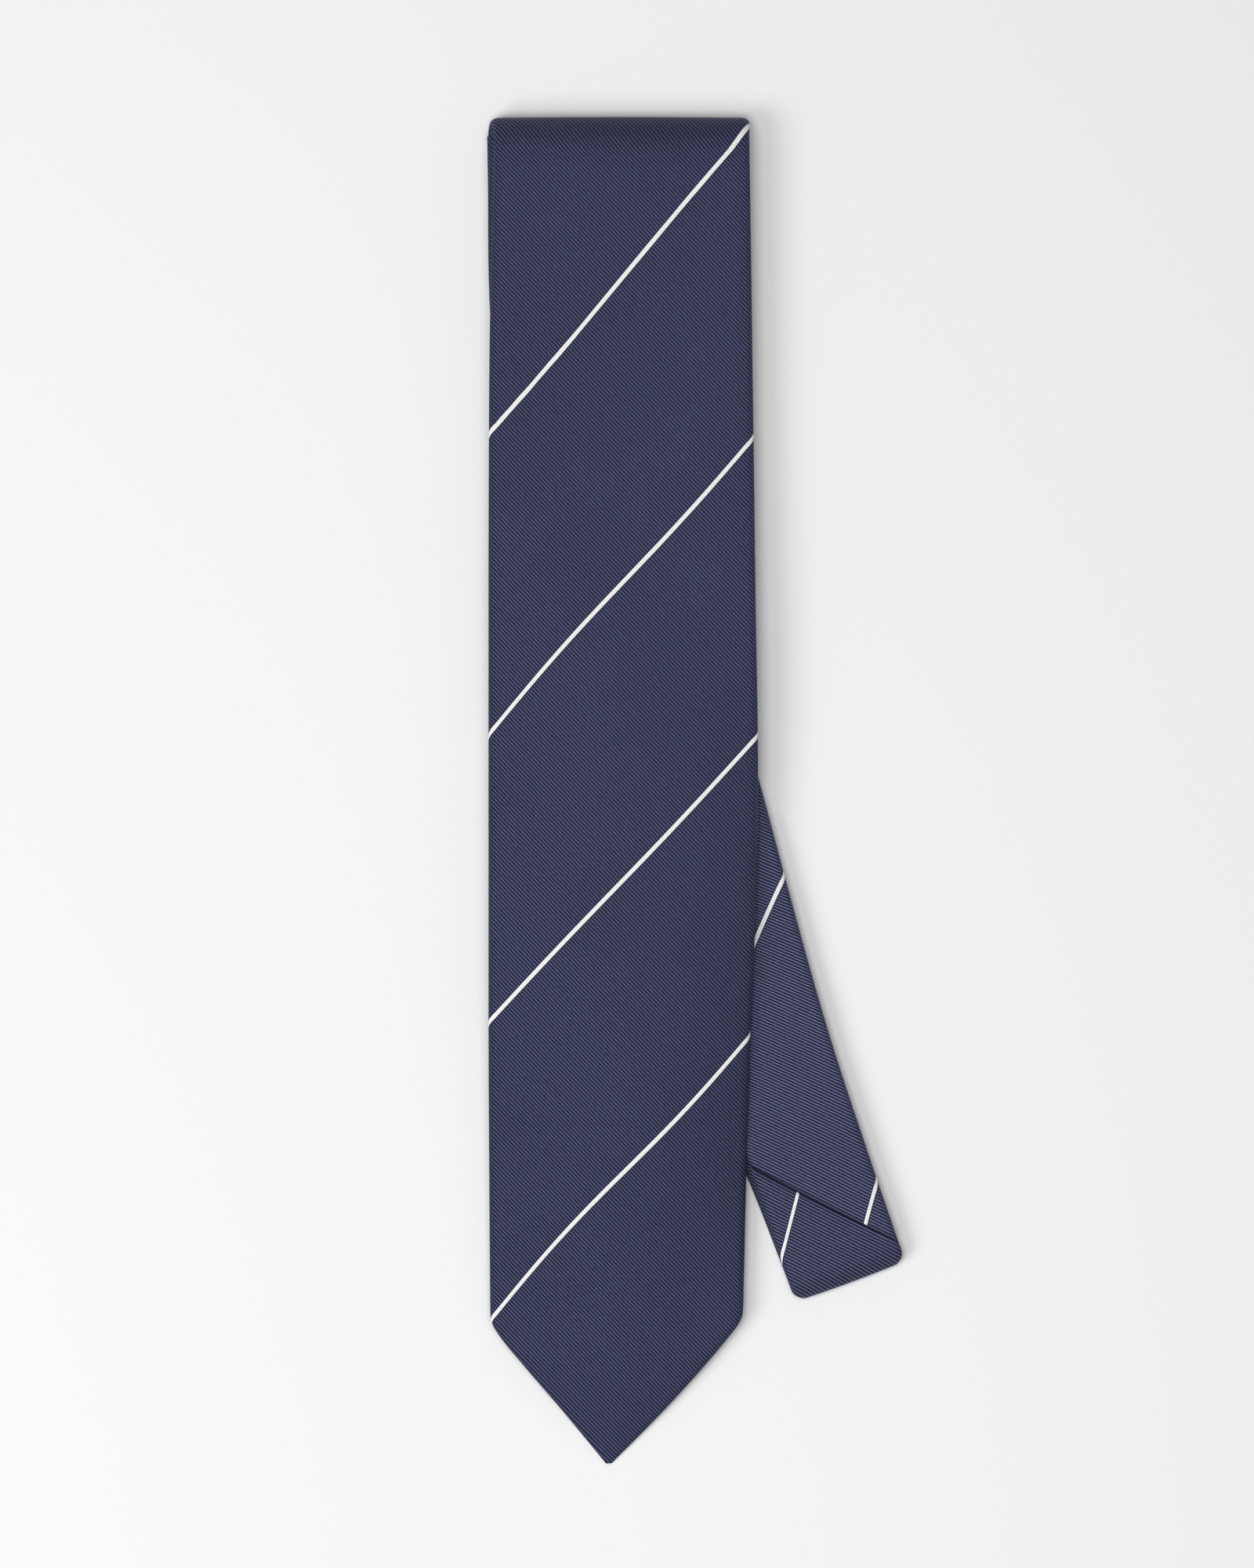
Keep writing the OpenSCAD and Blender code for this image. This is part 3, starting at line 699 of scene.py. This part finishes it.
side = calc(g, "MULTIPLY", calc(g, "SIGN", off), 0.25)
bead = calc(g, "ADD", calc(g, "DIVIDE", b, twill["bead"]), side)
bead = calc(g, "SINE", calc(g, "MULTIPLY", bead, math.pi * 2))
bead = calc(g, "MULTIPLY_ADD", bead, 0.5, 0.5)
middleGap = calc(g, "SUBTRACT", 1.0, calc(g, "DIVIDE", away, 0.16), clamp=True)
scallop = calc(g, "MULTIPLY", calc(g, "SUBTRACT", bead, 0.5), 0.14)
edge = calc(g, "ADD", gin.outputs["Stripe half width"], scallop)
inStripe = calc(g, "MULTIPLY", calc(g, "SUBTRACT", edge, away), 9.0, clamp=True)
near = calc(g, "SUBTRACT", calc(g, "ADD", gin.outputs["Stripe half width"], twill["outlineWidth"]), away)
near = calc(g, "MULTIPLY", near, 5.0, clamp=True)
cloth = blendColours(g, calc(g, "MULTIPLY", near, 0.75), cloth, gin.outputs["Outline"])
shade = calc(g, "MULTIPLY", calc(g, "MULTIPLY_ADD", bead, 0.14, 0.88),
             calc(g, "MULTIPLY_ADD", middleGap, -0.18, 1.0))
cord = blendColours(g, shade, gin.outputs["Outline"], gin.outputs["Stripe"])
g.links.new(blendColours(g, inStripe, cloth, cord), gout.inputs["Colour"])
onRib, offRib = twill["roughness"]
rough = calc(g, "MULTIPLY_ADD", thread, onRib - offRib, offRib)
g.links.new(calc(g, "MULTIPLY_ADD", inStripe, 0.2, rough), gout.inputs["Roughness"])
raised = calc(g, "MULTIPLY", inStripe, calc(g, "SUBTRACT", 1.1, calc(g, "MULTIPLY", away, away)))
raised = calc(g, "MULTIPLY", raised, calc(g, "MULTIPLY_ADD", bead, 0.5, 0.6))
g.links.new(calc(g, "ADD", calc(g, "MULTIPLY", thread, 0.5), raised), gout.inputs["Height"])
twillGroup = g

g, gin, gout = group("plain weave", [
    ("Light", "colour", (0.8, 0.8, 0.8, 1)), ("Dark", "colour", (0.1, 0.1, 0.1, 1)),
    ("Pitch", "value", 0.4), ("Fuzz", "value", 0.5), ("Gloss", "value", 0.5)], outs)
clothAt = put(g, "ShaderNodeUVMap", uv_map="cloth").outputs[0]
a, b = lengths(g, clothAt)
turns = calc(g, "DIVIDE", 2 * math.pi, gin.outputs["Pitch"])
over = calc(g, "MULTIPLY", calc(g, "SINE", calc(g, "MULTIPLY", a, turns)),
            calc(g, "SINE", calc(g, "MULTIPLY", b, turns)))
over = calc(g, "MULTIPLY_ADD", over, 0.5, 0.5)
fuzz = calc(g, "MULTIPLY", calc(g, "SUBTRACT", mottle(g, clothAt, 0.9, 5.0), 0.5), gin.outputs["Fuzz"])
share = calc(g, "ADD", calc(g, "MULTIPLY_ADD", over, 0.6, 0.2), fuzz, clamp=True)
g.links.new(blendColours(g, share, gin.outputs["Dark"], gin.outputs["Light"]), gout.inputs["Colour"])
dull = calc(g, "MULTIPLY_ADD", over, -0.12, 1.0)
g.links.new(calc(g, "SUBTRACT", dull, gin.outputs["Gloss"], clamp=True), gout.inputs["Roughness"])
g.links.new(calc(g, "ADD", over, fuzz), gout.inputs["Height"])
weaveGroup = g

g, gin, gout = group("twisted thread", [
    ("Light", "colour", (0.1, 0.1, 0.2, 1)), ("Dark", "colour", (0.0, 0.0, 0.0, 1)),
    ("Gloss", "value", 0.4)], outs)
plies = put(g, "ShaderNodeTexWave", wave_type="BANDS", bands_direction="DIAGONAL")
feed(g, plies.inputs["Scale"], 1500.0)
feed(g, plies.inputs["Distortion"], 0.6)
g.links.new(put(g, "ShaderNodeTexCoord").outputs["Object"], plies.inputs["Vector"])
ply = plies.outputs["Fac"]
g.links.new(blendColours(g, ply, gin.outputs["Dark"], gin.outputs["Light"]), gout.inputs["Colour"])
dull = calc(g, "MULTIPLY_ADD", ply, -0.15, 1.0)
g.links.new(calc(g, "SUBTRACT", dull, gin.outputs["Gloss"], clamp=True), gout.inputs["Roughness"])
g.links.new(ply, gout.inputs["Height"])
threadGroup = g


def material(name, **values):
    m = bpy.data.materials.new(name)
    m.use_nodes = True
    b = m.node_tree.nodes["Principled BSDF"]
    for k, v in values.items():
        b.inputs[k].default_value = v
    return m, m.node_tree, b


# a material whose colour, roughness and relief come from one group
def fromGroup(name, kind, settings, strength, relief, **values):
    m, tree, bsdf = material(name, **values)
    n = put(tree, "ShaderNodeGroup", node_tree=kind)
    for k, v in settings.items():
        n.inputs[k].default_value = v
    bump = put(tree, "ShaderNodeBump")
    bump.inputs["Strength"].default_value = strength
    bump.inputs["Distance"].default_value = relief
    tree.links.new(n.outputs["Height"], bump.inputs["Height"])
    tree.links.new(n.outputs["Colour"], bsdf.inputs["Base Color"])
    tree.links.new(n.outputs["Roughness"], bsdf.inputs["Roughness"])
    tree.links.new(bump.outputs[0], bsdf.inputs["Normal"])
    return m


def silk(name, ribs):
    return fromGroup(name, twillGroup, {"Ribs": ribs}, 0.7, twill["relief"], **{
        "Specular IOR Level": twill["specular"], "Specular Tint": twill["gloss"],
        "Sheen Weight": twill["sheen"], "Sheen Roughness": 0.4, "Sheen Tint": twill["sheenTint"]})


def grained(name, kind, light, dark, relief, specular, **settings):
    return fromGroup(name, kind, {"Light": light, "Dark": dark, **settings}, 0.5, relief,
                     **{"Specular IOR Level": specular})


silkShell = silk("silk twill", twill["ribs"])
# the rear and neck copies of the silk differ only in ribs painted lighter, standing in for the light that their
# slant catches
silkRearPaintedLighter = silk("silk twill of the rear, ribs painted lighter", twill["rearRibsPaintedLight"])
silkNeckPaintedLighter = silk("silk twill of the neck, ribs painted lighter", twill["neckRibsPaintedLight"])
wool = grained("interlining wool", weaveGroup, colour(236, 232, 220), colour(204, 198, 180), 0.0003, 0.2,
               Pitch=1.1, Fuzz=1.2, Gloss=0.02)
lining = grained("tipping satin", weaveGroup, colour(34, 36, 68), colour(20, 21, 46), 0.00005, 0.15,
                 Pitch=0.36, Fuzz=0.3, Gloss=0.46)
# the dark thread material is also laid along the bottom of the piecing seams' grooves, where it is painted shade
navyThreadAndSeamShade = grained("navy thread and seam shade", threadGroup, colour(24, 24, 46), colour(12, 12, 28), 0.00006, 0.2,
                     Gloss=0.25)
tackThread = grained("tack thread", threadGroup, colour(72, 76, 110), colour(40, 42, 70), 0.00006, 0.4,
                     Gloss=0.42)
satin = grained("label satin", weaveGroup, colour(242, 241, 236), colour(214, 212, 204), 0.00004, 0.5,
                Pitch=0.30, Fuzz=0.2, Gloss=0.56)
print("materials made")

seams = {
    "lead": 8.0,             # how far a top fold's piece runs into the layers it joins
    "gap": 0.16,             # half the groove at a piecing seam
    "neckLean": -1.04,       # slant of the seam near the neck fold, and of the tail's
    "tailLean": -1.0,
    "neckEase": 70,          # over what length the rows come back square
    "tailEase": 60,
    "sunk": 0.55,            # how deep the seam's dark strip of painted shade lies, and how thick it is
    "floor": 0.2,
}
bladeTop, rearTop = bladeSpan[1] - seams["lead"], rearSpan[0] + seams["lead"]
neckTop, tailTop = neckSpan[1] - 1.0, tailSpan[0] + 14.0
seamX, seamY = centreOf("neck_join_seam")
join = nearest((seamX + 0.5, seamY + 0.3), (neckSpan[0], neckSpan[0] + 60))[0]
tailJoin = nearest(centreOf("tail_join_seam"), neckSpan)[0]
lower = [(neckSpan[0] - 0.1, 0), (join, seams["neckLean"])]
upper = [(join, seams["neckLean"]), (join + seams["neckEase"], 0)]
last = [(tailJoin - seams["tailEase"], 0), (tailJoin, seams["tailLean"]), (tailJoin + seams["tailEase"], 0)]
tailTip = tailSpan[1]

front = shell("blade-front", [(0.0, 4.0, 8), (4.0, 46.0, 24), (46.0, 60.0, 6), (60.0, bladeTop, 64)],
              bladeWeave, silkShell)
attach(front, "blade")
topPiece = shell("blade-fold", [(bladeTop, topFold[0], 3), (*topFold, 22), (topFold[1], rearTop, 3)],
                 bladeWeave, silkShell)
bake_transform(topPiece)
# the rear layer, its neck fold and the tail's rear piece take the copy with ribs painted lighter; the neck piece
# takes the one painted lighter still
rearPiece = shell("blade-rear", [(rearTop, rearSpan[1] - 4, 60), (rearSpan[1] - 4, neckFold[0], 3),
                                 (*neckFold, 16), (neckFold[1], join - seams["gap"], 12)],
                  bladeWeave, silkRearPaintedLighter, lean=lower, tuck=(False, True))
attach(rearPiece, "rear")
neckPiece = shell("neck", [(join + seams["gap"], join + 60, 14), (join + 60, tailJoin - seams["gap"], 30)],
                  neckWeave, silkNeckPaintedLighter, lean=upper + last[:2], tuck=(True, True))
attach(neckPiece, "rear")
tailRear = shell("tail-rear", [(tailJoin + seams["gap"], neckTop, 16)], tailWeave, silkRearPaintedLighter,
                 lean=last[1:], tuck=(True, False))
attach(tailRear, "rear")
tailFold = shell("tail-fold", [(neckTop, innerFold[0], 2), (*innerFold, 16), (innerFold[1], tailTop, 5)],
                 tailWeave, silkShell)
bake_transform(tailFold)
tailFront = shell("tail-front", [(tailTop, tailTip - 30, 50), (tailTip - 30, tailTip - 3, 14),
                                 (tailTip - 3, tailTip, 6)], tailWeave, silkShell)
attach(tailFront, "tail")
shells = {front: "blade_shell_front", topPiece: "blade_shell_fold", rearPiece: "blade_shell_rear",
          neckPiece: "neck_shell", tailRear: "tail_shell_rear", tailFold: "tail_shell_fold",
          tailFront: "tail_shell_front"}
for piece, node in shells.items():
    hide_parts(node)
print("shells cut")

# painted shade: a thin strip in the dark thread colour lies at the bottom of each piecing seam's groove, where the
# real seam shows turned-in silk in shadow
for name, at, node, pattern, lean in (
        ("neck-join-seam-painted-shade", join, "neck_join_seam", neckWeave, seams["neckLean"]),
        ("tail-join-seam-painted-shade", tailJoin, "tail_join_seam", tailWeave, seams["tailLean"])):
    seam = shell(name, [(at - 0.5, at + 0.5, 3)], pattern, navyThreadAndSeamShade, lean=[(at - 1, lean), (at + 1, lean)],
                 sunk=seams["sunk"], wall=seams["floor"])
    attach(seam, "rear")
    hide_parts(node)
print("seams joined")

inside = {
    "inset": 3.4,            # how much narrower the interlining is on each side
    "top": (0.5, -0.92),     # its two faces: share of the layer's thickness, and distance
    "bottom": (-0.5, 1.05),
    "dome": 0.15,
    "tippingInset": 3.0,
    "tippingTop": (-0.5, 0.68),
    "tippingBottom": (-0.5, 0.50),
}
pieces = {}
for name, steps, node, body in (
        ("interlining-front", [(13, 60, 12), (60, bladeTop, 50)], "interlining_front", "blade"),
        ("interlining-fold-outer", [(bladeTop, topFold[0], 2), (*topFold, 16), (topFold[1], rearTop, 2)],
         "interlining_fold_outer", None),
        ("interlining-rear", [(rearTop, neckFold[0], 40), (*neckFold, 12), (neckFold[1], neckTop, 50)],
         "interlining_rear", "rear"),
        ("interlining-fold-inner", [(neckTop, innerFold[0], 1), (*innerFold, 12), (innerFold[1], tailTop, 4)],
         "interlining_fold_inner", None),
        ("interlining-tail", [(tailTop, tailTip - 24, 48), (tailTip - 24, tailTip - 12, 6)],
         "interlining_tail", "tail")):
    piece = inlay(name, steps, wool, inside["inset"], inside["top"], inside["bottom"], inside["dome"])
    if body:
        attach(piece, body)
    elif "outer" in name:
        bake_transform(piece)
    else:
        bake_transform(piece)
    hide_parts(node)
    pieces[name] = piece
for name, steps, node, body in (
        ("blade-tipping", [(13, 60, 12), (60, 92, 8)], "blade_tipping", "blade"),
        ("tail-tipping", [(tailTip - 56, tailTip - 24, 8), (tailTip - 24, tailTip - 11, 6)],
         "tail_tipping", "tail")):
    piece = inlay(name, steps, lining, inside["tippingInset"], inside["tippingTop"], inside["tippingBottom"])
    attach(piece, body)
    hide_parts(node)
    pieces[name] = piece
print("linings laid")

sewing = {
    "thread": 0.16,          # a sewing thread's radius
    "pace": 9.0,             # distance between two slip stitches
    "stitch": 2.6,           # length of one
    "seam": -1.6,            # where they run across the back
    "tackHalf": 3.9,         # half a bar tack's length
    "tackThread": 0.17,
    "wraps": 22,             # turns of thread over a bar tack
    "loopThread": 0.2,
}


# a place on the back of the layer, at a length and a distance across
def onBack(at, x, lift=0.0):
    return along("place", at) + along("across", at) * x - along("face", at) * (along("thick", at) / 2 + lift)


def slipStitches(name, fromAt, toAt, node, body):
    runs = []
    for i, at in enumerate(np.arange(fromAt, toAt, sewing["pace"])):
        lean = 0.25 * math.sin(2.3 * i)
        runs.append([onBack(at + f * sewing["stitch"], sewing["seam"] + 1.1 * (2 * f - 1) * 0.5 + lean * f,
                            0.05 + 0.22 * math.sin(math.pi * f)) for f in np.linspace(0, 1, 6)])
    obj = cords(name, runs, sewing["thread"], navyThreadAndSeamShade)
    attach(obj, body)
    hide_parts(node)


def barTack(name, node, body, stretch):
    at = nearest(centreOf(node), stretch)[0]
    end = sewing["tackHalf"]
    runs = [[onBack(at + d, x, 0.16) for x in np.linspace(-end, end, 9)] for d in (-0.45, 0, 0.45)]
    for x in np.linspace(0.1 - end, end - 0.1, sewing["wraps"]):
        runs.append([onBack(at + f, x + 0.12 * f, 0.12 + 0.42 * (1 - (f / 0.85) ** 2))
                     for f in np.linspace(-0.85, 0.85, 7)])
    obj = cords(name, runs, sewing["tackThread"], tackThread)
    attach(obj, body)
    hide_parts(node)


def slackLoop(name, node, body, stretch):
    low, high = span(node)
    at = nearest(centreOf(node), stretch)[0]
    r = (high[0] - low[0]) / 2 - 0.3
    runs = [[onBack(at + r * 1.15 * math.cos(t), r * math.sin(t), 0.28)
             for t in np.linspace(0, 2 * math.pi, 33)]]
    obj = cords(name, runs, sewing["loopThread"], navyThreadAndSeamShade, sides=7)
    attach(obj, body)
    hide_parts(node)


barTack("blade-bar-tack", "blade_bar_tack", "blade", bladeSpan)
barTack("tail-bar-tack", "tail_bar_tack", "tail", tailSpan)
slackLoop("blade-slack-loop", "blade_slack_loop", "blade", bladeSpan)
slackLoop("tail-slack-loop", "tail_slack_loop", "tail", tailSpan)
bladeSewn = span("blade_bar_tack")[1][1] - pointY + 6
tailSewn = nearest((centreOf("tail_bar_tack")[0], span("tail_bar_tack")[1][1] + 6), tailSpan)[0]
slipStitches("blade-slip-stitch", bladeSewn, bladeTop - 6, "blade_slip_stitch", "blade")
slipStitches("rear-slip-stitch", rearTop + 6, rearSpan[1] - 12, "rear_slip_stitch", "rear")
slipStitches("neck-slip-stitch", neckSpan[0] + 12, neckTop - 8, "neck_slip_stitch", "rear")
slipStitches("tail-slip-stitch", tailTop + 6, tailSewn, "tail_slip_stitch", "tail")

keeper = {
    "thick": 0.75,
    "corner": 1.6,
    "foot": 2.6,             # how far each end runs in past the sides
    "clear": 8,              # shifts its pattern
}
keeperLow, keeperHigh = span("keeper_loop")
left, right = keeperLow[0] + 0.1, keeperHigh[0] - 0.1
bottom, top = keeperLow[2] + 0.03, keeperHigh[2] - 0.36
r = keeper["corner"]
path = [(left - keeper["foot"], top - 0.02), (left - 1.0, top)]
path += [(left - 0.6 + 0.6 * math.sin(t), top - 0.6 + 0.6 * math.cos(t)) for t in np.linspace(0.3, math.pi / 2, 5)]
path += [(left + r - r * math.cos(t), bottom + r - r * math.sin(t)) for t in np.linspace(0, math.pi / 2, 7)]
path += [(x, bottom) for x in np.linspace(left + r + 3, (left + right) / 2, 6)]
path = np.array(path + [(left + right - x, z) for x, z in path[:-1]][::-1])
rows = np.linspace(keeperLow[1], keeperHigh[1], 7)
outer = np.stack([np.broadcast_to(path[:, :1], (len(path), 7)), np.broadcast_to(rows[None], (len(path), 7)),
                  np.broadcast_to(path[:, 1:], (len(path), 7))], -1).copy()
outer[..., 2] -= np.where(outer[..., 2] > top - 1, fallen(outer[..., 0], outer[..., 1]), 0)
run = np.concatenate([[0], np.cumsum(np.hypot(*np.diff(path, axis=0).T))])
u, v = np.broadcast_to(run[:, None], outer.shape[:2]), np.broadcast_to(rows[None], outer.shape[:2])
bias = math.radians(45)
maps = {"weave": ((v - u) * math.cos(bias) + keeper["clear"], (v + u) * math.sin(bias)), "cloth": (u, v)}
loopPiece = sheetMesh("keeper-loop", outer, keeper["thick"], maps, silkShell, flip=True)
loopWide = keeperHigh[1] - keeperLow[1]
loopPiece["flat"] = [loopWide * mm, float(run[-1]) * mm, float(run[-1]) * loopWide * mm * mm]
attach(loopPiece, "blade")
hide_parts("keeper_loop")
runs = []
for s in (-1, 1):
    x = (left + right) / 2 + s * ((right - left) / 2 + keeper["foot"] - 1.0)
    for y in np.arange(keeperLow[1] + 2.5, keeperHigh[1] - 2, 1.5):
        z = top - keeper["thick"] - 0.08 - float(fallen(x, y))
        runs.append([(x + 0.9 * f, y + 0.5 * f, z - 0.1 * (1 - f * f)) for f in np.linspace(-1, 1, 5)])
keeperTacks = cords("keeper-tacks", runs, sewing["thread"], navyThreadAndSeamShade)
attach(keeperTacks, "blade")
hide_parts("keeper_tacks")

careLabel = {
    "thick": 0.16,
    "under": 0.10,           # how far it lies below its solid's underside
    "bow": 0.05,
}
labelLow, labelHigh = span("care_label")
xs, ys = np.linspace(labelLow[0], labelHigh[0], 13), np.linspace(labelLow[1], labelHigh[1], 7)
grid = np.zeros((len(xs), len(ys), 3))
grid[..., 0], grid[..., 1] = xs[:, None], ys[None]
grid[..., 2] = labelLow[2] - careLabel["under"] + careLabel["bow"] * np.sin(np.linspace(0, math.pi, 13))[:, None]
grid[..., 2] -= fallen(grid[..., 0], grid[..., 1])
label = sheetMesh("care-label", grid, careLabel["thick"], {"cloth": (grid[..., 0], grid[..., 1])}, satin, flip=True)
label["flat"] = [(labelHigh[1] - labelLow[1]) * mm, (labelHigh[0] - labelLow[0]) * mm, 0.0]
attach(label, "blade")
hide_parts("care_label")
print("sewn")

# what each sheet of cloth lies on, and what is sewn to it
lies = {front: ["tail-front", "neck"], topPiece: ["tail-fold"], rearPiece: ["floor"],
        neckPiece: ["blade-rear"], tailRear: ["blade-rear"], tailFold: ["tail-rear"],
        tailFront: ["neck", "floor"], loopPiece: ["blade-front"], label: ["blade-front"],
        pieces["interlining-front"]: ["blade-front"], pieces["interlining-fold-outer"]: ["blade-fold"],
        pieces["interlining-rear"]: ["blade-rear"], pieces["interlining-fold-inner"]: ["tail-fold"],
        pieces["interlining-tail"]: ["tail-front"], pieces["blade-tipping"]: ["blade-front"],
        pieces["tail-tipping"]: ["tail-front"]}
for piece, under in lies.items():
    del piece["flat"]

studio = {
    "floor": colour(236, 236, 236),
    "world": 0.20,
    # each lamp: place, size, power, and whether the silk shines under it
    "lamps": {"key": ((-1.22, -0.66, 1.35), 1.1, 16.8, False),
              "overhead": ((-0.15, -0.05, 2.4), 1.5, 35.8, True)},
}
bpy.ops.mesh.primitive_plane_add(size=5, location=(0, 0, 0))
floor = bpy.context.object
floor.name = "floor"
paper = material("studio paper", **{"Base Color": studio["floor"], "Roughness": 0.9,
                                    "Specular IOR Level": 0.1})[0]
floor.data.materials.append(paper)

world = bpy.data.worlds.new("studio")
bpy.context.scene.world = world
world.use_nodes = True
backdrop = world.node_tree.nodes["Background"]
backdrop.inputs[0].default_value = (1.0, 1.0, 1.0, 1)
backdrop.inputs[1].default_value = studio["world"]
for name, (place, size, power, shines) in studio["lamps"].items():
    lamp = bpy.data.lights.new(name, "AREA")
    lamp.shape = "DISK"
    lamp.size = size
    lamp.energy = power
    light = bpy.data.objects.new(name, lamp)
    bpy.context.scene.collection.objects.link(light)
    light.location = place
    light.rotation_euler = (-light.location).to_track_quat("-Z", "Y").to_euler()
    light.visible_camera = False
    light.visible_glossy = shines

view = {
    "place": (-0.0202, 0.0020, 6.006),
    "distance": 6.0,
    "height": 0.4640,        # what the frame takes in at that distance
}
cam = bpy.data.cameras.new("camera")
camera = bpy.data.objects.new("camera", cam)
bpy.context.scene.collection.objects.link(camera)
camera.location = view["place"]
cam.lens = 36 * view["distance"] / view["height"]
cam.clip_end = 20
cam.dof.use_dof = False
bpy.context.scene.camera = camera
bpy.context.scene.view_settings.view_transform = "Standard"
bpy.context.scene.view_settings.look = "None"
print("studio ready")
